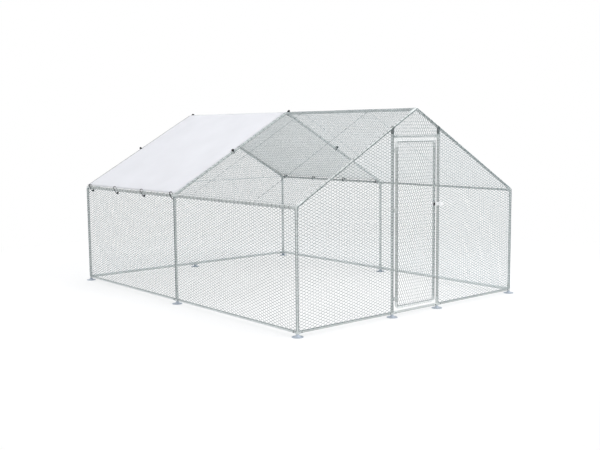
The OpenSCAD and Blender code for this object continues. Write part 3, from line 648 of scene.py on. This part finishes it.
# Up one slope from the eave and round the ridge: u is the way along the rafter's axis line
def onRoof(side):
    def place(u, v, w):
        lift = plan["netOff"] + w + hang(u, v)
        turn = np.minimum(slope - (u - flatLength) / bend, slope)
        bent = u > flatLength
        bentX, bentZ = np.sin(turn) * (bend + lift), bendZ + np.cos(turn) * (bend + lift)
        flatX = halfW - u * cosSlope + lift * sinSlope
        flatZ = eaveZ + u * sinSlope + lift * cosSlope
        return np.stack([side * np.where(bent, bentX, flatX), v, np.where(bent, bentZ, flatZ)], 1)

    return place


def rect(u0, v0, u1, v1):
    return [(u0, v0), (u1, v0), (u1, v1), (u0, v1)]


seam, eaveGap = netting["seam"], netting["eaveGap"]
netLow = plan["baseZ"] + plan["tube"]
wallTop = eaveRailZ - plan["tube"]
rafterAtDoor = ridgeZ - doorX * tanSlope
roofSeed = 5.0
for side, sideName, wallSeed in ((-1, "left", 1.0), (1, "right", 3.0)):
    for y0, y1, bayName, more in ((-bay, -seam, "front", 0.0), (seam, bay, "rear", 0.5)):
        outline = rect(y0, netLow, y1, wallTop)
        origin = (netting["sideShift"] * side, netLow)
        netPiece(
            f"{sideName}{bayName.title()}Net", f"{sideName}_{bayName}_netting",
            [(outline, origin, range(4))], onSide(side), (side, 0, 0),
            wallSeed + more, shadedNearWire if side < 0 else litFarWire,
        )
        strips = []
        seams = netting["roofSeams"][side]
        cuts = [y0, *[y for y in seams if y0 < y < y1], y1]
        for low, high in zip(cuts[:-1], cuts[1:]):
            origin = (eaveGap, max(y for y in (-bay, *seams) if y < high))
            edges = [3] if low == y0 else [3, 0]  # the eave, and the seam that the strip starts at
            strips.append((rect(eaveGap, low, halfGirth, high), origin, edges))
        netPiece(
            f"roof{sideName.title()}{bayName.title()}Net", f"roof_{sideName}_{bayName}_netting",
            strips, onRoof(side), (side * sinSlope, 0, cosSlope),
            roofSeed, litCoveredWire if y0 > 0 else litPaleWire if side > 0 else shadedNearWire,
        )

gableLow = halfW + (eaveZ - eaveRailZ) / tanSlope
headX, headZ = doorX - seam, plan["headZ"]
gableNets = {
    "rearWallNet": rect(-halfW, netLow, halfW, eaveRailZ - seam),
    "rearGableNet": [(-gableLow, eaveRailZ), (gableLow, eaveRailZ), (0, ridgeZ)],
    "frontLeftNet": [(-halfW, netLow), (-doorX, netLow), (-doorX, rafterAtDoor), (-halfW, eaveZ)],
    "frontRightNet": [(doorX, netLow), (halfW, netLow), (halfW, eaveZ), (doorX, rafterAtDoor)],
    "overDoorNet": [
        (-headX, headZ), (headX, headZ), (headX, rafterAtDoor), (0, ridgeZ), (-headX, rafterAtDoor),
    ],
    "doorNet": rect(-stileX, plan["doorLowZ"] + plan["tube"], stileX, plan["doorTopZ"]),
}
for name, node, side, seed, material, turned, body in (
    ("rearWallNet", "rear_wall_netting", 1, 6.1, litFarWire, False, "frame"),
    ("rearGableNet", "rear_gable_netting", 1, 6.9, litFarWire, False, "frame"),
    ("frontLeftNet", "front_left_netting", -1, 7.3, shadedNearWire, False, "frame"),
    ("frontRightNet", "front_right_netting", -1, 7.9, shadedWire, False, "frame"),
    ("overDoorNet", "over_door_netting", -1, 8.4, shadedNearWire, True, "frame"),
    ("doorNet", "door_netting", -1, 9.2, shadedNearWire, True, "door"),
):
    outline = gableNets[name]
    strips = [(outline, outline[0], range(len(outline)))]
    netPiece(name, node, strips, onGable(side), (0, side, 0), seed, material, turned, body)
print("netting is made")


# Wire ends wound round the tubes

ties = {
    "radius": 0.0132,
    "wire": 0.0007,
    "sides": 3,
    "steps": 9,  # in one turn
    "climb": 0.0018,  # along the tube in one turn
    "climbSpread": (0.85, 1.3),
    "scatter": 0.14,  # of the space between two ties
    "turns": {"rafter": 3.2, "eave": 3.2, "post": 2.6, "doorPost": 2.2, "stile": 2.2, "rail": 1.1},
    "postRun": (0.125, 1.035),
    "rafterEnd": 0.1,
    "railEnd": 0.066,
    "doorRailEnd": 0.062,
    "hingePostRuns": ((0.12, 0.154), (0.194, 1.0042), (1.0442, 1.571), (1.611, 1.69)),
    "latchPostRuns": ((0.12, 1.03), (1.075, 1.69)),
    "hingeStileRuns": ((0.2, 1.0), (1.045, 1.57)),
    "latchStileRuns": ((0.15, 1.03), (1.075, 1.615)),
}


period, rows = netting["period"], netting["rows"]
columns = period / 2


def coils(lines, seed):
    random = np.random.default_rng(seed)
    steps, sides, scatter = ties["steps"], ties["sides"], ties["scatter"]
    parts = []
    for a, b, space, turns in lines:
        wind = np.arange(int(turns * steps) + 1) / steps
        a, b = np.array(a, float), np.array(b, float)
        length = np.linalg.norm(b - a)
        count = max(1, int(length / space))
        along = (b - a) / length
        upright = abs(along[2]) >= 0.9
        e1 = unit(np.cross(along, np.array([1.0, 0, 0]) if upright else np.array([0, 0, 1.0])))
        e2 = np.cross(along, e1)
        place = (np.arange(count) + 0.5 + random.uniform(-scatter, scatter, count)) / count
        first = random.uniform(0, 2 * math.pi, count)
        climb = ties["climb"] * random.uniform(*ties["climbSpread"], count)
        angle = first[:, None] + wind[None] * 2 * math.pi
        out = np.cos(angle)[..., None] * e1 + np.sin(angle)[..., None] * e2
        rise = (wind[None] - turns / 2) * climb[:, None]
        centre = a + (b - a) * place[:, None]
        line = centre[:, None] + out * ties["radius"] + rise[..., None] * along
        corners = [
            line + ties["wire"] * (math.cos(c) * out + math.sin(c) * along)
            for c in (2 * j * math.pi / sides for j in range(sides))
        ]
        verts = np.stack(corners, axis=2).reshape(-1, 3)
        parts.append((verts, *tubeFaces(count, len(wind), sides)))
    return joined(parts)


def onArch(side, y, t):
    return side * (halfW - t * cosSlope), y, eaveZ + t * sinSlope


# Upright runs at one place, and a level run across a gable
def uprights(x, y, runs, space, turns):
    return [((x, y, low), (x, y, high), space, turns) for low, high in runs]


def acrossGable(halfX, z, turns):
    return (-halfX, -bay, z), (halfX, -bay, z), rows, turns


tieTurns, railEnd = ties["turns"], ties["railEnd"]
wallLines, roofLines = [], []
for side in (-1, 1):
    for y in (-bay, 0, bay):
        wallLines += uprights(side * halfW, y, [ties["postRun"]], rows, tieTurns["post"])
        low, high = (onArch(side, y, t) for t in (ties["rafterEnd"], rafter - ties["rafterEnd"]))
        roofLines.append((low, high, period, tieTurns["rafter"]))
    for y0, y1 in ((-bay, 0), (0, bay)):
        x = side * plan["eaveRailX"]
        ends = (x, y0 + railEnd, eaveRailZ), (x, y1 - railEnd, eaveRailZ)
        wallLines.append((*ends, period, tieTurns["eave"]))
for y0, y1 in ((-bay, 0), (0, bay)):
    ends = (0, y0 + railEnd, plan["ridgeRailZ"]), (0, y1 - railEnd, plan["ridgeRailZ"])
    roofLines.append((*ends, columns, tieTurns["rail"]))
gableLines = [
    *uprights(-doorX, -bay, ties["hingePostRuns"], rows, tieTurns["doorPost"]),
    *uprights(doorX, -bay, ties["latchPostRuns"], rows, tieTurns["doorPost"]),
    acrossGable(doorX - railEnd, headZ, tieTurns["rail"]),
]
doorLines = [
    *uprights(-stileX, -bay, ties["hingeStileRuns"], columns, tieTurns["stile"]),
    *uprights(stileX, -bay, ties["latchStileRuns"], columns, tieTurns["stile"]),
    acrossGable(stileX - ties["doorRailEnd"], plan["doorTopZ"], tieTurns["rail"]),
    acrossGable(stileX - ties["doorRailEnd"], plan["doorLowZ"], tieTurns["rail"]),
]
for name, lines, body, seed in (
    ("wallTies", wallLines, "frame", 3), ("roofTies", roofLines, "frame", 4),
    ("gableTies", gableLines, "frame", 5), ("doorTies", doorLines, "door", 6),
):
    verts, faces, smooth = coils(lines, seed)
    newPiece(name, verts, faces, shadedTieWire, body, smooth)
print("ties are made")


# Roof cover, stretched over the rear bay

cover = {
    "thick": 0.0007,
    # width of the dark grey strip along the rear edge
    "darkStrip": 0.014,
    "lowT": 0.00725,  # way up the slope at which the cover starts
    "lift": 0.0004,
    "ripple": 0.0009,
    "rippleY": 9.0,
    "rippleLean": 2.0,
    "rippleS": 5.0,
    "across": 96,
    "along": 72,
}


# s is the way over the roof from the ridge, less than 0 on the left
def coverPoint(s, y, lift):
    side = -1 if s < 0 else 1
    far = abs(s)
    if far <= halfGirth - flatLength:
        radius, a = bend + lift, far / bend
        return side * radius * math.sin(a), y, bendZ + radius * math.cos(a)
    t = halfGirth - far
    up = lift + float(hang(np.array(t), np.array(y)))
    x = halfW - t * cosSlope + up * sinSlope
    return side * x, y, eaveZ + t * sinSlope + up * cosSlope


def makeCover():
    half = halfGirth - cover["lowT"]
    lift = plan["coverOff"] + cover["lift"]
    coverLow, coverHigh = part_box("roof_cover")
    y0, y1 = coverLow.y, coverHigh.y
    nu, nv = cover["across"], cover["along"]
    stations = [*np.linspace(y0, y1 - cover["darkStrip"], nv), y1]
    verts, uvs = [], []
    for i in range(nu + 1):
        s = -half + 2 * half * i / nu
        for y in stations:
            wave = math.sin(cover["rippleY"] * y + cover["rippleLean"] * s)
            ripple = cover["ripple"] * wave * math.sin(cover["rippleS"] * s) ** 2
            verts.append(coverPoint(s, y, lift + abs(ripple)))
            uvs.append((s, y))
    faces = []
    for i in range(nu):
        for j in range(nv):
            a = i * (nv + 1) + j
            faces.append((a, a + nv + 1, a + nv + 2, a + 1))
    obj = newPiece("coverSheet", verts, faces, coverCloth, "frame")
    layer = obj.data.uv_layers.new(name="flat")
    for loop in obj.data.loops:
        layer.data[loop.index].uv = uvs[loop.vertex_index]
    # The second side takes the next slot: cloth and its back, lightened as painted light, dark strip
    # and dark strip
    for material in (litCoverBack, coverDarkStrip, coverDarkStrip):
        obj.data.materials.append(material)
    for face in obj.data.polygons:
        face.material_index = 2 * (face.index % nv == nv - 1)
    solid = obj.modifiers.new("thickness", "SOLIDIFY")
    solid.thickness = cover["thick"]
    solid.offset = 1.0
    solid.material_offset = 1
    solid.material_offset_rim = 0
    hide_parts("roof_cover")


makeCover()
print("cover is made")


# Elastic loops of two strands side by side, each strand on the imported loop's own route

loops = {"apart": 0.00245, "weldDigits": 6}


# The lowest point number that each point is joined to
def islands(count, ends):
    group = np.arange(count)
    while True:
        low = np.minimum(group[ends[:, 0]], group[ends[:, 1]])
        before = group.copy()
        np.minimum.at(group, ends[:, 0], low)
        np.minimum.at(group, ends[:, 1], low)
        group = group[group]
        if (group == before).all():
            return group


def makeLoops():
    packed = nodes["elastic_loops"]
    corners = np.array([packed.matrix_world @ v.co for v in packed.data.vertices])
    rounded = np.round(corners, loops["weldDigits"])
    points, welded = np.unique(rounded, axis=0, return_inverse=True)
    welded = welded.ravel()
    faces = [[int(welded[i]) for i in face.vertices] for face in packed.data.polygons]
    faces = [face for face in faces if len(set(face)) == len(face)]
    ends = np.array([pair for face in faces for pair in zip(face, face[1:])])
    group = islands(len(points), ends)
    shift = np.zeros_like(points)
    for label in np.unique(group):
        mine = group == label
        fromMiddle = points[mine] - points[mine].mean(0)
        outOfPlane = np.linalg.svd(fromMiddle, full_matrices=False)[2][2]
        shift[mine] = outOfPlane * loops["apart"]
    verts = [*(points + shift).tolist(), *(points - shift).tolist()]
    faces += [[i + len(points) for i in face] for face in faces]
    obj = newPiece("loopStrands", verts, faces, cordBraid, "frame")
    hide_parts("elastic_loops")
    print("elastic loops:", len(np.unique(group)))


makeLoops()


# Floor, world and lamps

floor = {
    "half": 60.0,
    "drop": 0.0005,
    "rough": 0.9,
    "tones": (0.94, 0.95),
    "speckScale": 3.0,
    "speckDetail": 2.0,
    "white": (0.5, 1.0),  # share of plain white near the run and far from it
    "reach": (2.2, 5.5),
}
sky = {"tone": (0.97, 0.98, 1.0, 1), "strength": 0.9}
lamps = {
    "keyLamp": {"place": (3.0, -7.0, 9.0), "size": 6.0, "power": 430.0},
    "topLamp": {"place": (-2.0, 2.0, 10.0), "size": 8.0, "power": 240.0},
}
lampTarget = (0, 0, 0.8)


# Rays that see a plain white background
def backgroundRays(tree):
    path = tree.nodes.new("ShaderNodeLightPath")
    seen = path.outputs["Is Camera Ray"]
    for label in ("Is Glossy Ray", "Is Transmission Ray"):
        seen = compute(tree, "MAXIMUM", seen, path.outputs[label])
    return seen


def makeFloor():
    mesh = bpy.data.meshes.new("floor")
    r = floor["half"]
    mesh.from_pydata([(-r, -r, 0), (r, -r, 0), (r, r, 0), (-r, r, 0)], [], [(0, 1, 2, 3)])
    obj = bpy.data.objects.new("floor", mesh)
    obj.location.z = -floor["drop"]
    scene.collection.objects.link(obj)
    material = bpy.data.materials.new("floorPale")
    material.use_nodes = True
    tree = material.node_tree
    tree.nodes.clear()
    ground = add(tree, "ShaderNodeBsdfPrincipled", Roughness=floor["rough"])
    speck = add(
        tree, "ShaderNodeTexNoise", Scale=floor["speckScale"], Detail=floor["speckDetail"]
    )
    link(tree, spread(tree, speck.outputs["Fac"], *floor["tones"]), ground.inputs["Base Color"])
    white = add(tree, "ShaderNodeEmission", Strength=1.0)
    away = add(tree, "ShaderNodeVectorMath", operation="LENGTH")
    link(tree, add(tree, "ShaderNodeTexCoord").outputs["Object"], away.inputs[0])
    whiteShare = spread(tree, away.outputs["Value"], *floor["white"], *floor["reach"])
    end = tree.nodes.new("ShaderNodeOutputMaterial")
    share = mixShaders(tree, ground.outputs["BSDF"], white.outputs["Emission"], end)
    link(tree, compute(tree, "MULTIPLY", backgroundRays(tree), whiteShare), share)
    mesh.materials.append(material)


def makeWorld():
    world = bpy.data.worlds.new("studio")
    scene.world = world
    world.use_nodes = True
    tree = world.node_tree
    tree.nodes.clear()
    soft = add(tree, "ShaderNodeBackground", Color=sky["tone"], Strength=sky["strength"])
    white = add(tree, "ShaderNodeBackground", Color=(1, 1, 1, 1))
    end = tree.nodes.new("ShaderNodeOutputWorld")
    share = mixShaders(tree, soft.outputs["Background"], white.outputs["Background"], end)
    link(tree, backgroundRays(tree), share)


def makeLamp(name, place, size, power):
    data = bpy.data.lights.new(name, "AREA")
    data.shape = "DISK"
    data.size = size
    data.energy = power
    lamp = bpy.data.objects.new(name, data)
    scene.collection.objects.link(lamp)
    lamp.location = place
    lamp.rotation_mode = "QUATERNION"
    lamp.rotation_quaternion = (Vector(lampTarget) - Vector(place)).to_track_quat("-Z", "Y")


makeFloor()
makeWorld()
for name, lamp in lamps.items():
    makeLamp(name, **lamp)
scene.view_settings.view_transform = "Standard"
print("stage is set")
